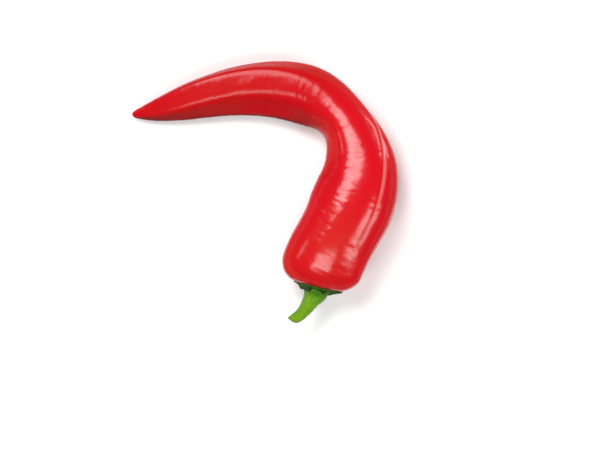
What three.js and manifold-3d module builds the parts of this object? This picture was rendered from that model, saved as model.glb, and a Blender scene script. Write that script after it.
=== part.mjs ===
// A sweet pointed pepper, lying on its side: the hooked fruit, the calyx on its stem end and the stalk.
// Millimetres, +Z up. The origin is on the surface that the pepper lies on, below the middle of its outline.
import * as THREE from "three";
import { mergeVertices } from "three/addons/utils/BufferGeometryUtils.js";
import Module from "manifold-3d";

const wasm = await Module();
wasm.setup();

// ---- Driving dimensions ----

const TURN = 2 * Math.PI;
const UP = new THREE.Vector3(0, 0, 1);
const DEGREE = THREE.MathUtils.DEG2RAD;
const PIECE_GAP = 0.3;

// Where the middle of the fruit runs, from the stem end round the hook to the tip, and how far its skin
// stands to the side and upwards there.
const FRUIT_STATIONS = [
  { at: [25.8, -46.7, 15.3], side: 19.3, rise: 13.6 },
  { at: [28.2, -38.0, 16.2], side: 20.3, rise: 15.4 },
  { at: [32.3, -28.8, 17.0], side: 20.4, rise: 16.7 },
  { at: [37.7, -18.9, 17.6], side: 20.3, rise: 17.3 },
  { at: [42.6, -8.7, 17.9], side: 21.1, rise: 17.5 },
  { at: [47.3, 8.5, 17.0], side: 19.3, rise: 16.6 },
  { at: [44.9, 25.0, 15.6], side: 15.1, rise: 14.9 },
  { at: [38.3, 37.0, 14.2], side: 12.6, rise: 13.4 },
  { at: [27.3, 45.6, 13.0], side: 14.5, rise: 12.2 },
  { at: [9.8, 50.7, 11.7], side: 14.7, rise: 11.0 },
  { at: [-10.3, 50.9, 10.2], side: 12.7, rise: 9.5 },
  { at: [-29.8, 47.4, 8.8], side: 10.4, rise: 8.2 },
  { at: [-45.5, 43.2, 7.0], side: 7.8, rise: 6.4 },
  { at: [-59.0, 39.9, 5.0], side: 4.2, rise: 4.0 },
  { at: [-66.9, 38.6, 4.3], side: 1.4, rise: 1.3 },
];

// The fruit's flatter sides, which meet in its long ridges. Each row is a share of the fruit's length, the
// way the side faces there, in degrees round the fruit from its outer side over the top, and its distance
// from the fruit's middle in radii.
const FRUIT_FACETS = [
  [
    [0, 96, 0.87],
    [0.1, 96, 0.87],
    [0.2, 95, 0.92],
    [0.3, 97, 0.91],
    [0.38, 97, 0.9],
    [0.45, 96, 0.9],
    [0.52, 93, 0.91],
    [0.6, 91, 0.918],
    [0.9, 91, 0.93],
    [1, 92, 0.96],
  ],
  [
    [0, 142, 0.97],
    [0.2, 142, 0.97],
    [0.3, 144, 0.94],
    [0.38, 148, 0.9],
    [0.45, 151, 0.85],
    [0.5, 149, 0.78],
    [0.6, 141, 0.72],
    [0.75, 142, 0.72],
    [0.9, 146, 0.8],
    [1, 150, 0.95],
  ],
  [
    [0, 205, 0.97],
    [0.4, 208, 0.96],
    [1, 210, 0.96],
  ],
  [
    [0, 270, 0.97],
    [1, 270, 0.97],
  ],
  [
    [0, -10, 0.98],
    [0.3, -5, 0.97],
    [0.4, -8, 0.96],
    [0.5, -20, 0.95],
    [0.6, -45, 0.93],
    [1, -50, 0.95],
  ],
  [
    [0, 62, 0.92],
    [0.1, 60, 0.89],
    [0.2, 52, 0.95],
    [0.33, 50, 0.97],
    [0.42, 56, 0.96],
    [0.47, 48, 0.96],
    [0.51, 36, 0.96],
    [0.56, 23, 0.96],
    [0.62, 15, 0.97],
    [1, 9, 0.98],
  ],
];

// How sharply one side turns into the next, by share of the fruit's length.
const FRUIT_CORNERS = [
  [0, 5.5],
  [0.12, 6],
  [0.22, 6],
  [0.3, 7.5],
  [0.4, 7],
  [0.5, 5.5],
  [0.6, 7.5],
  [0.85, 9],
  [0.95, 7],
  [1, 5],
];

// The long crease on the outer side of the bend: share of the length, angle and lift in radii.
const CREASE_SPREAD = 9;
const CREASE = [
  [0.1, 50, 0],
  [0.16, 53, -0.006],
  [0.22, 54, -0.014],
  [0.285, 52, -0.02],
  [0.33, 44, -0.02],
  [0.38, 31, -0.02],
  [0.43, 12, -0.02],
  [0.47, -4, 0],
];

// The stem end: the hollow that the calyx sits in, the crest round it and the shoulder beyond.
const HOLLOW_DEPTH = 2.0;
const CREST_SHARE = 0.6;
const SHOULDER_LENGTH = 10;
const TIP_RADIUS = 1.7;

// The calyx is a shallow green cap with pointed teeth.
const CALYX_RADIUS = 10.4;
const CALYX_TOOTH = 2.9;
const CALYX_TEETH = 6;
const CALYX_TOOTH_SHARPNESS = 5;
const CALYX_HEIGHT = 3.6;
const CALYX_EDGE_HEIGHT = 1.3;
const CALYX_BOSS_RADIUS = 7.1;
const CALYX_ROOT_DEPTH = 3.2;

// The stalk: how far its middle has gone from the calyx, and its radius there.
const STALK_STATIONS = [
  { at: [0, 0, 0], radius: 6.6 },
  { at: [-0.7, -2.2, 0.4], radius: 5.0 },
  { at: [-2.3, -5.2, 1.3], radius: 3.8 },
  { at: [-4.9, -8.7, 2.5], radius: 3.2 },
  { at: [-7.9, -11.6, 3.7], radius: 2.9 },
  { at: [-10.9, -14.0, 4.7], radius: 2.7 },
];
const STALK_RIBS = 5;
const STALK_RIB_HEIGHT = 0.055;

// How finely the faceted solids are cut.
const FRUIT_SEGMENTS = 48;
const FRUIT_BODY_RINGS = 54;
const HOLLOW_RINGS = 4;
const SHOULDER_RINGS = 6;
const TIP_RINGS = 3;
const CALYX_SEGMENTS = 72;
const CALYX_RINGS = 7;
const STALK_SEGMENTS = 24;
const STALK_RINGS = 16;

// The fruit's flesh gives a little where it lies, which leaves flat patches on its underside.
const RESTING_SINK = 0.35;

const FRUIT_SKIN = { color: 0xc4121a, roughness: 0.24, metalness: 0 };
const CALYX_GREEN = { color: 0x2f6b1c, roughness: 0.55, metalness: 0 };
const STALK_GREEN = { color: 0x6b9a1e, roughness: 0.45, metalness: 0 };

// ---- Shapes ----

// A smooth curve through rows of numbers, each row at its own distance along.
class SmoothTable {
  constructor(distances, rows) {
    this.start = distances[0];
    this.length = distances.at(-1);
    this.curve = new THREE.CubicInterpolant(distances, rows.flat(), rows[0].length);
  }

  at(distance) {
    return [...this.curve.evaluate(THREE.MathUtils.clamp(distance, this.start, this.length))];
  }
}

// A line through space with numbers that vary along it, such as a radius.
class Spine {
  constructor(stations, numbersOf) {
    const points = stations.map((station) => new THREE.Vector3(...station.at));
    const distances = [0];
    for (let i = 1; i < points.length; i++) {
      distances.push(distances[i - 1] + points[i].distanceTo(points[i - 1]));
    }
    this.table = new SmoothTable(
      distances,
      stations.map((station) => [...station.at, ...numbersOf(station)]),
    );
    this.length = this.table.length;
  }

  point(distance) {
    return new THREE.Vector3(...this.table.at(distance));
  }

  numbers(distance) {
    return this.table.at(distance).slice(3);
  }

  heading(distance) {
    const step = 0.5;
    const ahead = this.point(Math.min(distance + step, this.length));
    return ahead.sub(this.point(Math.max(distance - step, 0))).normalize();
  }

  // The directions to the outer side and upwards, square to the heading.
  frame(distance) {
    const heading = this.heading(distance);
    const outward = new THREE.Vector3().crossVectors(heading, UP).normalize();
    return { outward, upward: new THREE.Vector3().crossVectors(outward, heading) };
  }
}

// A bump of height 1 round a middle angle that dies away over the spread, in degrees.
function angularBump(angle, middle, spread) {
  return Math.exp((Math.cos(angle - middle * DEGREE) - 1) / (spread * DEGREE) ** 2);
}

// How far out a rounded polygon's outline is at an angle, from the angles and distances of its sides.
function polygonReach(angle, sides, sharpness) {
  const nearness = sides.reduce((sum, [facing, distance]) => {
    return sum + Math.max(0, Math.cos(angle - facing * DEGREE) / distance) ** sharpness;
  }, 0);
  return nearness ** (-1 / sharpness);
}

// The same numbers, stretched so that they run from -1 to 1.
function spreadEvenly(numbers) {
  const [low, high] = [Math.min(...numbers), Math.max(...numbers)];
  return numbers.map((number) => (2 * number - low - high) / (high - low));
}

// Closed rings of points joined into one skin, with a fan over each end.
function skinOver(rings) {
  const segments = rings[0].length;
  const positions = rings.flat().flatMap((point) => point.toArray());
  const faces = [];
  const around = (ring, segment) => ring * segments + (segment % segments);
  for (let ring = 0; ring < rings.length - 1; ring++) {
    for (let segment = 0; segment < segments; segment++) {
      const [a, b] = [around(ring, segment), around(ring, segment + 1)];
      const [c, d] = [around(ring + 1, segment), around(ring + 1, segment + 1)];
      faces.push(a, c, b, b, c, d);
    }
  }
  for (const [ring, turned] of [[0, false], [rings.length - 1, true]]) {
    const middle = rings[ring]
      .reduce((sum, point) => sum.add(point), new THREE.Vector3())
      .divideScalar(segments);
    const pole = positions.push(...middle.toArray()) / 3 - 1;
    for (let segment = 0; segment < segments; segment++) {
      const [a, b] = [around(ring, segment), around(ring, segment + 1)];
      faces.push(...(turned ? [pole, b, a] : [pole, a, b]));
    }
  }
  const geometry = new THREE.BufferGeometry();
  geometry.setAttribute("position", new THREE.Float32BufferAttribute(positions, 3));
  geometry.setIndex(faces);
  return geometry;
}

function toSolid(geometry) {
  const merged = mergeVertices(geometry);
  return new wasm.Manifold(
    new wasm.Mesh({
      numProp: 3,
      vertProperties: merged.attributes.position.array,
      triVerts: new Uint32Array(merged.index.array),
    }),
  );
}

function toGeometry(solid) {
  const mesh = solid.getMesh();
  const geometry = new THREE.BufferGeometry();
  geometry.setAttribute("position", new THREE.BufferAttribute(mesh.vertProperties, mesh.numProp));
  geometry.setIndex(new THREE.BufferAttribute(mesh.triVerts, 1));
  return geometry;
}

function pieceOf(name, geometry, finish) {
  geometry.computeVertexNormals();
  const mesh = new THREE.Mesh(geometry, new THREE.MeshStandardMaterial(finish));
  mesh.name = name;
  return mesh;
}

// ---- Fruit ----

// A table whose rows begin with their distance along.
function tableOf(rows) {
  return new SmoothTable(
    rows.map(([distance]) => distance),
    rows.map(([, ...numbers]) => numbers),
  );
}

const facets = FRUIT_FACETS.map(tableOf);
const corners = tableOf(FRUIT_CORNERS);
const crease = tableOf(CREASE);
const fruitSpine = new Spine(FRUIT_STATIONS, ({ side, rise }) => [side, rise]);

// Where each ring of the fruit's skin lies: its distance along and its share of the full radius.
function fruitProfile() {
  const profile = [];
  for (let i = 1; i <= HOLLOW_RINGS; i++) {
    const out = i / HOLLOW_RINGS;
    const depth = HOLLOW_DEPTH * (0.5 + 0.5 * Math.cos(Math.PI * out));
    profile.push({ distance: depth, share: CREST_SHARE * out });
  }
  for (let i = 1; i <= SHOULDER_RINGS; i++) {
    const angle = (i / SHOULDER_RINGS) * (Math.PI / 2);
    profile.push({
      distance: SHOULDER_LENGTH * (1 - Math.cos(angle)),
      share: CREST_SHARE + (1 - CREST_SHARE) * Math.sin(angle),
    });
  }
  const bodyEnd = fruitSpine.length - TIP_RADIUS;
  for (let i = 1; i <= FRUIT_BODY_RINGS; i++) {
    const distance = THREE.MathUtils.lerp(SHOULDER_LENGTH, bodyEnd, i / FRUIT_BODY_RINGS);
    profile.push({ distance, share: 1 });
  }
  for (let i = 1; i <= TIP_RINGS; i++) {
    const angle = (i / (TIP_RINGS + 1)) * (Math.PI / 2);
    profile.push({
      distance: bodyEnd + TIP_RADIUS * Math.sin(angle),
      share: Math.cos(angle),
    });
  }
  return profile;
}

// The fruit's outline at a share of its length: how far out and how far up each point is, from -1 to 1.
function fruitOutline(lengthShare) {
  const sides = facets.map((facet) => facet.at(lengthShare));
  const [sharpness] = corners.at(lengthShare);
  const [foldAngle, foldLift] = crease.at(lengthShare);
  const angles = Array.from({ length: FRUIT_SEGMENTS }, (_, i) => (i / FRUIT_SEGMENTS) * TURN);
  const reaches = angles.map((angle) => polygonReach(angle, sides, sharpness));
  const across = spreadEvenly(angles.map((angle, i) => reaches[i] * Math.cos(angle)));
  const up = spreadEvenly(angles.map((angle, i) => reaches[i] * Math.sin(angle)));
  return angles.map((angle, i) => {
    const lift = 1 + foldLift * angularBump(angle, foldAngle, CREASE_SPREAD);
    return [across[i] * lift, up[i] * lift];
  });
}

function fruitRing({ distance, share }) {
  const [side, rise] = fruitSpine.numbers(distance);
  const { outward, upward } = fruitSpine.frame(distance);
  const middle = fruitSpine.point(distance);
  return fruitOutline(distance / fruitSpine.length).map(([across, up]) => {
    return middle
      .clone()
      .addScaledVector(outward, side * share * across)
      .addScaledVector(upward, rise * share * up);
  });
}

const fruitRings = fruitProfile().map(fruitRing);
const lowestPoint = Math.min(...fruitRings.flat().map((point) => point.z));
const restingLevel = lowestPoint + RESTING_SINK;
for (const point of fruitRings.flat()) point.z = Math.max(point.z, restingLevel);

const fruitGeometry = skinOver(fruitRings);
const fruit = pieceOf("fruit", fruitGeometry, FRUIT_SKIN);

// ---- Calyx and stalk ----

const stemAxis = fruitSpine.heading(0).negate();
const stemFoot = fruitSpine.point(0);
const stemFrame = fruitSpine.frame(0);

// A point of the calyx, from its height along the stem's axis, its radius and its angle.
function onCalyx(height, radius, angle) {
  return stemFoot
    .clone()
    .addScaledVector(stemAxis, height)
    .addScaledVector(stemFrame.outward, radius * Math.cos(angle))
    .addScaledVector(stemFrame.upward, radius * Math.sin(angle));
}

function calyxRim(angle) {
  const toTooth = (1 + Math.cos(angle * CALYX_TEETH)) / 2;
  return CALYX_RADIUS + CALYX_TOOTH * toTooth ** CALYX_TOOTH_SHARPNESS;
}

function calyxRing(height, radiusOf) {
  return Array.from({ length: CALYX_SEGMENTS }, (_, i) => {
    const angle = (i / CALYX_SEGMENTS) * TURN;
    return onCalyx(height, radiusOf(angle), angle);
  });
}

// The cap is first made with a deep root, and the fruit's own end then cuts its underside.
function calyxSolid() {
  const { lerp, smoothstep } = THREE.MathUtils;
  const rings = [];
  for (let i = 0; i <= CALYX_RINGS; i++) {
    const out = i / CALYX_RINGS;
    const height = lerp(CALYX_HEIGHT, CALYX_EDGE_HEIGHT, smoothstep(out, 0, 1));
    rings.push(calyxRing(height, (angle) => lerp(CALYX_BOSS_RADIUS, calyxRim(angle), out)));
  }
  const root = calyxRing(-CALYX_ROOT_DEPTH, calyxRim);
  const cap = toSolid(skinOver([...rings, root]));
  const clearance = stemAxis.clone().multiplyScalar(PIECE_GAP);
  const fruitInTheWay = toSolid(fruitGeometry).translate(clearance.toArray());
  return cap.subtract(fruitInTheWay);
}

function stalkGeometry() {
  const spine = new Spine(STALK_STATIONS, ({ radius }) => [radius]);
  const foot = onCalyx(CALYX_HEIGHT + PIECE_GAP, 0, 0);
  const rings = Array.from({ length: STALK_RINGS }, (_, ring) => {
    const distance = (ring / (STALK_RINGS - 1)) * spine.length;
    const [radius] = spine.numbers(distance);
    // The foot lies flat on the calyx, and the stalk turns to its own heading over its first part.
    const settled = THREE.MathUtils.smoothstep(distance, 0, spine.length / 3);
    const heading = stemAxis.clone().lerp(spine.heading(distance), settled).normalize();
    const outward = new THREE.Vector3().crossVectors(heading, UP).normalize();
    const upward = new THREE.Vector3().crossVectors(outward, heading);
    return Array.from({ length: STALK_SEGMENTS }, (_, segment) => {
      const angle = (segment / STALK_SEGMENTS) * TURN;
      const reach = radius * (1 + STALK_RIB_HEIGHT * Math.cos(STALK_RIBS * angle));
      return spine
        .point(distance)
        .add(foot)
        .addScaledVector(outward, reach * Math.cos(angle))
        .addScaledVector(upward, reach * Math.sin(angle));
    });
  });
  return skinOver(rings);
}

const calyx = pieceOf("calyx", toGeometry(calyxSolid()), CALYX_GREEN);
const stalk = pieceOf("stalk", stalkGeometry(), STALK_GREEN);

// ---- The pepper, with its origin below the middle of its outline ----

const lying = new THREE.Group();
lying.add(fruit, calyx, stalk);
const outline = new THREE.Box3().setFromObject(lying);
const middle = outline.getCenter(new THREE.Vector3());
lying.position.set(-middle.x, -middle.y, -outline.min.z);

const pepper = new THREE.Group();
pepper.add(lying);

export default pepper;
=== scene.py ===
"""A sweet pointed pepper lying on its side: glossy red fruit, warty green calyx and a cut stalk.

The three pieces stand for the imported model's solids and keep its place and size. Everything is in
metres, except the stations that the fruit and the stalk follow, which are in millimetres.
"""

from __future__ import annotations

import logging
import math
from dataclasses import dataclass
from enum import Enum

import bpy
import numpy as np
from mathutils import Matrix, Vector


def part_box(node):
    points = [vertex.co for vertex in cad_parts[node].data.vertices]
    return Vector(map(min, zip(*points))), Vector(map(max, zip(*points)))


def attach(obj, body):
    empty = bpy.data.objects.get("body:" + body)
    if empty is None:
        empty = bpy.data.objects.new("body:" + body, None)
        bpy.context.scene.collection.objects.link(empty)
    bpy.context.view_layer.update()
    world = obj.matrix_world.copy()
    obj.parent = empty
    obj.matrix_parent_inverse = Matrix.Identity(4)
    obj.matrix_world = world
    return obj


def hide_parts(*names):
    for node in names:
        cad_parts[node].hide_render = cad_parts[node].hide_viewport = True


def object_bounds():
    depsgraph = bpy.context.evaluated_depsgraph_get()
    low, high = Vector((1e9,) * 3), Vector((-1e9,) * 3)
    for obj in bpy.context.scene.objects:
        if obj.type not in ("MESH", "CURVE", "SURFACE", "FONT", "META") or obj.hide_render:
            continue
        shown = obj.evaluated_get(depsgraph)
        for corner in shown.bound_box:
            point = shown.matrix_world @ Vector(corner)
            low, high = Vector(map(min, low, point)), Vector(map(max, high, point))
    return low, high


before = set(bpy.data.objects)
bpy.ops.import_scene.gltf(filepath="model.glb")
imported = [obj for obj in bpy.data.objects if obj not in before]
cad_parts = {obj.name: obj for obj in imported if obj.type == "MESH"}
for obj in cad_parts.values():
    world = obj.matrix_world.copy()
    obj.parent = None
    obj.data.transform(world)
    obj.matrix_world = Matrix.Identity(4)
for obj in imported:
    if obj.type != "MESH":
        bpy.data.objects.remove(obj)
CAD_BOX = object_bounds()

ONLY_BODY = "root"
MM = 0.001
SEAM = 0.001 * MM
UP = Vector((0, 0, 1))
HEADING_STEPS = 400

# The fruit's box in the millimetres that stations are given in.
FRUIT_LOW = np.array((-66.88, -50.24, 0.63))
FRUIT_SIZE = np.array((133.49, 115.76, 34.77))

log = logging.getLogger("pepper")


# ---- Node trees as Python expressions ----


class Wire:
    """An output socket, whose arithmetic adds Math or Vector Math nodes to its tree."""

    def __init__(self, graph: Graph, socket: bpy.types.NodeSocket) -> None:
        """Keeps the socket and the graph that new nodes go to.

        Args:
            graph: The tree's builder.
            socket: An output socket of one of the tree's nodes.
        """
        self.graph = graph
        self.socket = socket

    def calculate(self, operation: str, *operands: Operand) -> Wire:
        """Adds one Math node, or a Vector Math node where an operand is a vector.

        Args:
            operation: The node's operation.
            *operands: Wires, numbers or vectors, in the order of its sockets.

        Returns:
            The result.
        """
        is_vector = any(
            isinstance(operand, (tuple, Vector))
            or (isinstance(operand, Wire) and operand.socket.type == "VECTOR")
            for operand in operands
        )
        kind = "ShaderNodeVectorMath" if is_vector else "ShaderNodeMath"
        return self.graph.node(kind, {"operation": operation}, dict(enumerate(operands)))

    def output(self, name: str) -> Wire:
        """Another output of the node that this wire comes from."""
        return Wire(self.graph, self.graph.find(self.socket.node.outputs, name))

    def __add__(self, other: Operand) -> Wire:
        """self + other."""
        return self.calculate("ADD", self, other)

    def __radd__(self, other: Operand) -> Wire:
        """other + self."""
        return self.calculate("ADD", other, self)

    def __sub__(self, other: Operand) -> Wire:
        """self - other."""
        return self.calculate("SUBTRACT", self, other)

    def __rsub__(self, other: Operand) -> Wire:
        """other - self."""
        return self.calculate("SUBTRACT", other, self)

    def __mul__(self, other: Operand) -> Wire:
        """self * other."""
        return self.calculate("MULTIPLY", self, other)

    def __rmul__(self, other: Operand) -> Wire:
        """other * self."""
        return self.calculate("MULTIPLY", other, self)

    def __truediv__(self, other: Operand) -> Wire:
        """self / other."""
        return self.calculate("DIVIDE", self, other)

    def __rtruediv__(self, other: Operand) -> Wire:
        """other / self."""
        return self.calculate("DIVIDE", other, self)

    def __pow__(self, other: Operand) -> Wire:
        """self ** other."""
        return self.calculate("POWER", self, other)

    def times(self, direction: tuple[float, float, float]) -> Wire:
        """This number of metres along a fixed direction."""
        inputs = {0: direction, "Scale": self}
        return self.graph.node("ShaderNodeVectorMath", {"operation": "SCALE"}, inputs)

    def cosine(self) -> Wire:
        """The cosine of an angle in radians."""
        return self.calculate("COSINE", self)

    def sine(self) -> Wire:
        """The sine of an angle in radians."""
        return self.calculate("SINE", self)

    def exponential(self) -> Wire:
        """e to this power."""
        return self.calculate("EXPONENT", self)

    def floor(self) -> Wire:
        """The whole number at or below."""
        return self.calculate("FLOOR", self)

    def at_least(self, other: Operand) -> Wire:
        """The larger of this and another value."""
        return self.calculate("MAXIMUM", self, other)

    def rise(self, low: float, high: float) -> Wire:
        """A smooth step from 0 at one value to 1 at another.

        Args:
            low: Where the result is 0.
            high: Where the result is 1, which may be below `low` for a step down.

        Returns:
            The step.
        """
        return self.graph.node(
            "ShaderNodeMapRange",
            {"interpolation_type": "SMOOTHSTEP"},
            {"Value": self, "From Min": low, "From Max": high},
        )

    def parts(self) -> tuple[Wire, Wire, Wire]:
        """A vector's three parts."""
        split = self.graph.node("ShaderNodeSeparateXYZ", {}, {0: self})
        return split, split.output("Y"), split.output("Z")


Operand = Wire | float | tuple | Vector


class Graph:
    """Adds nodes to one shader or geometry tree."""

    def __init__(self, tree: bpy.types.NodeTree) -> None:
        """Starts with an empty tree."""
        self.tree = tree
        tree.nodes.clear()

    @staticmethod
    def find(sockets: bpy.types.bpy_prop_collection, key: str | int) -> bpy.types.NodeSocket:
        """Finds a socket by its place, its identifier or its name.

        Args:
            sockets: A node's inputs or outputs.
            key: Which one.

        Returns:
            The socket.
        """
        if isinstance(key, int):
            return sockets[key]
        by_identifier = [socket for socket in sockets if socket.identifier == key]
        by_name = [socket for socket in sockets if socket.name == key and socket.enabled]
        return (by_identifier + by_name)[0]

    def feed(self, socket: bpy.types.NodeSocket, value: object) -> None:
        """Links a wire to an input socket, or sets the socket's own value.

        Args:
            socket: The input.
            value: A wire, number, vector, colour, object or material.
        """
        if isinstance(value, Wire):
            self.tree.links.new(value.socket, socket)
        elif socket.type == "VECTOR" and isinstance(value, (int, float)):
            socket.default_value = (value,) * 3
        else:
            socket.default_value = value

    def node(
        self,
        kind: str,
        settings: dict[str, object] | None = None,
        inputs: dict[str | int, object] | None = None,
        out: str | int = 0,
    ) -> Wire:
        """Adds a node of any type.

        Args:
            kind: The node's type.
            settings: Its properties, set first.
            inputs: Values or wires, by socket.
            out: The output to give back.

        Returns:
            A wire from that output.
        """
        made = self.tree.nodes.new(kind)
        for name, value in (settings or {}).items():
            setattr(made, name, value)
        for key, value in (inputs or {}).items():
            self.feed(self.find(made.inputs, key), value)
        return Wire(self, self.find(made.outputs, out))

    def attribute(self, name: str, out: str = "Vector") -> Wire:
        """A value that the mesh carries, for a shader."""
        return self.node("ShaderNodeAttribute", {"attribute_name": name}, out=out)

    def noise(self, where: Operand, scale: float, detail: float = 2, roughness: float = 0.5) -> Wire:
        """Smooth noise, mostly from 0.25 to 0.75.

        Args:
            where: The place that it is read at.
            scale: Features for each unit of length.
            detail: How many finer layers it has.
            roughness: How strong the finer layers are.

        Returns:
            The noise.
        """
        inputs = {"Vector": where, "Scale": scale, "Detail": detail, "Roughness": roughness}
        return self.node("ShaderNodeTexNoise", {}, inputs)

    def cells(self, where: Operand, scale: float) -> Wire:
        """The distance to the nearest of many scattered points.

        Args:
            where: The place that it is read at.
            scale: Points for each unit of length.

        Returns:
            The distance.
        """
        return self.node("ShaderNodeTexVoronoi", {}, {"Vector": where, "Scale": scale}, "Distance")

    def blend(self, share: Operand, first: object, second: object) -> Wire:
        """A colour between two.

        Args:
            share: 0 for the first and 1 for the second.
            first: A wire or a colour.
            second: A wire or a colour.

        Returns:
            The colour.
        """
        colours = [(*c, 1) if isinstance(c, tuple) else c for c in (first, second)]
        inputs = {"Factor_Float": share, "A_Color": colours[0], "B_Color": colours[1]}
        return self.node("ShaderNodeMix", {"data_type": "RGBA"}, inputs, "Result_Color")


Colour = tuple[float, float, float]


class Recipe(Graph):
    """A Geometry Nodes tree with named inputs, and the mesh that comes out of it."""

    def __init__(self, name: str) -> None:
        """Starts a tree that takes and gives one geometry."""
        super().__init__(bpy.data.node_groups.new(name, "GeometryNodeTree"))
        self.tree.interface.new_socket("Geometry", in_out="OUTPUT", socket_type="NodeSocketGeometry")
        self.entry = self.tree.nodes.new("NodeGroupInput")
        self.base = self.input("Base", "Geometry")

    def input(self, name: str, kind: str) -> Wire:
        """Adds a named input to the tree.

        Args:
            name: What the input is called.
            kind: Geometry, Float, Int, Object or Material.

        Returns:
            A wire from it.
        """
        self.tree.interface.new_socket(name, in_out="INPUT", socket_type=f"NodeSocket{kind}")
        return Wire(self, self.entry.outputs[name])

    def sheet(self, rings: Wire, segments: Wire) -> tuple[Wire, Wire, Wire]:
        """A grid whose rows become the rings of a skin.

        Args:
            rings: The number of rings.
            segments: The number of faces round each ring.

        Returns:
            The grid, each vertex's ring, and its turn round the ring in radians.
        """
        around = segments + 1
        counts = {"Vertices X": rings, "Vertices Y": around}
        grid = self.node("GeometryNodeMeshGrid", {}, counts)
        index = self.node("GeometryNodeInputIndex")
        ring = (index / around).floor()
        turn = (index - ring * around) / segments * math.tau
        return grid, ring, turn

    def carried(self, name: str, ring: Wire, kind: str = "FLOAT_VECTOR") -> Wire:
        """A value that the base carries for each ring.

        Args:
            name: The attribute's name.
            ring: The ring to read it at.
            kind: FLOAT_VECTOR or FLOAT.

        Returns:
            The value.
        """
        inputs = {"Geometry": self.base, "Value": self.own(name, kind), "Index": ring}
        return self.node("GeometryNodeSampleIndex", {"data_type": kind}, inputs)

    def middle(self, ring: Wire) -> Wire:
        """The middle of each ring, which is where the base's vertex for it lies."""
        position = self.node("GeometryNodeInputPosition")
        inputs = {"Geometry": self.base, "Value": position, "Index": ring}
        return self.node("GeometryNodeSampleIndex", {"data_type": "FLOAT_VECTOR"}, inputs)

    def vector(self, x: Operand, y: Operand, z: Operand) -> Wire:
        """A vector of three parts."""
        return self.node("ShaderNodeCombineXYZ", {}, {"X": x, "Y": y, "Z": z})

    def own(self, name: str, kind: str = "FLOAT_VECTOR") -> Wire:
        """A value that the skin itself carries on its vertices."""
        return self.node("GeometryNodeInputNamedAttribute", {"data_type": kind}, {"Name": name})

    def moved(self, geometry: Wire, position: Wire) -> Wire:
        """The geometry with its vertices put elsewhere."""
        return self.node("GeometryNodeSetPosition", {}, {"Geometry": geometry, "Position": position})

    def shifted(self, geometry: Wire, offset: Wire) -> Wire:
        """The geometry with its vertices shifted."""
        return self.node("GeometryNodeSetPosition", {}, {"Geometry": geometry, "Offset": offset})

    def stored(self, geometry: Wire, name: str, value: Wire, kind: str = "FLOAT_VECTOR") -> Wire:
        """The geometry with a value stored on its vertices, for its material to read.

        Args:
            geometry: The geometry.
            name: The attribute's name.
            value: The value.
            kind: FLOAT_VECTOR or FLOAT.

        Returns:
            The geometry with the attribute.
        """
        inputs = {"Geometry": geometry, "Name": name, "Value": value}
        return self.node("GeometryNodeStoreNamedAttribute", {"data_type": kind}, inputs)

    def sewn(self, geometry: Wire) -> Wire:
        """The geometry with its seam and its poles closed."""
        return self.node("GeometryNodeMergeByDistance", {}, {"Geometry": geometry, "Distance": SEAM})

    def along_normal(self, distance: Wire) -> Wire:
        """A shift of this distance along the surface's normal."""
        normal = self.node("GeometryNodeInputNormal")
        return self.node("ShaderNodeVectorMath", {"operation": "SCALE"}, {0: normal, "Scale": distance})

    def serve(self, geometry: Wire, material: Wire) -> None:
        """Ends the tree with a smooth, plain, finished mesh."""
        smooth = self.node("GeometryNodeSetShadeSmooth", {}, {"Geometry": geometry})
        plain = self.node("GeometryNodeRealizeInstances", {}, {"Geometry": smooth})
        finished = self.node("GeometryNodeSetMaterial", {}, {"Geometry": plain, "Material": material})
        way_out = self.tree.nodes.new("NodeGroupOutput")
        self.tree.links.new(finished.socket, way_out.inputs[0])

    def grow(self, name: str, base: bpy.types.Mesh, values: dict[str, object]) -> bpy.types.Object:
        """Runs the tree and keeps what comes out as a plain mesh.

        Args:
            name: The new object's name.
            base: The mesh that the tree starts from.
            values: The tree's inputs, by name.

        Returns:
            The new object, at the origin.
        """
        carrier = bpy.data.objects.new(f"{name}_base", base)
        bpy.context.scene.collection.objects.link(carrier)
        modifier = carrier.modifiers.new(name, "NODES")
        modifier.node_group = self.tree
        for item in self.tree.interface.items_tree:
            if item.in_out == "INPUT" and item.name in values:
                modifier[item.identifier] = values[item.name]
        depsgraph = bpy.context.evaluated_depsgraph_get()
        mesh = bpy.data.meshes.new_from_object(carrier.evaluated_get(depsgraph), depsgraph=depsgraph)
        bpy.data.objects.remove(carrier)
        mesh.name = name
        piece = bpy.data.objects.new(name, mesh)
        bpy.context.scene.collection.objects.link(piece)
        return piece


# ---- Curves that the pieces follow ----


def smooth_rows(knots: np.ndarray, rows: np.ndarray, wanted: np.ndarray) -> np.ndarray:
    """Reads a natural cubic spline through rows of numbers.

    Args:
        knots: Each row's distance along the spline, rising.
        rows: The rows.
        wanted: The distances to read it at.

    Returns:
        A row for each wanted distance.
    """
    count = len(knots)
    wanted = np.clip(wanted, knots[0], knots[-1])
    gaps = np.diff(knots)
    slopes = np.diff(rows, axis=0) / gaps[:, None]
    system = np.eye(count)
    target = np.zeros_like(rows)
    for i in range(1, count - 1):
        system[i, i - 1 : i + 2] = gaps[i - 1], 2 * (gaps[i - 1] + gaps[i]), gaps[i]
        target[i] = 6 * (slopes[i] - slopes[i - 1])
    bends = np.linalg.solve(system, target)
    start = np.clip(np.searchsorted(knots, wanted, side="right") - 1, 0, count - 2)
    gap = gaps[start][:, None]
    into = (wanted - knots[start])[:, None] / gap
    back = 1 - into
    straight = rows[start] * back + rows[start + 1] * into
    curved = bends[start] * (back**3 - back) + bends[start + 1] * (into**3 - into)
    return straight + curved * gap**2 / 6


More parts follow.
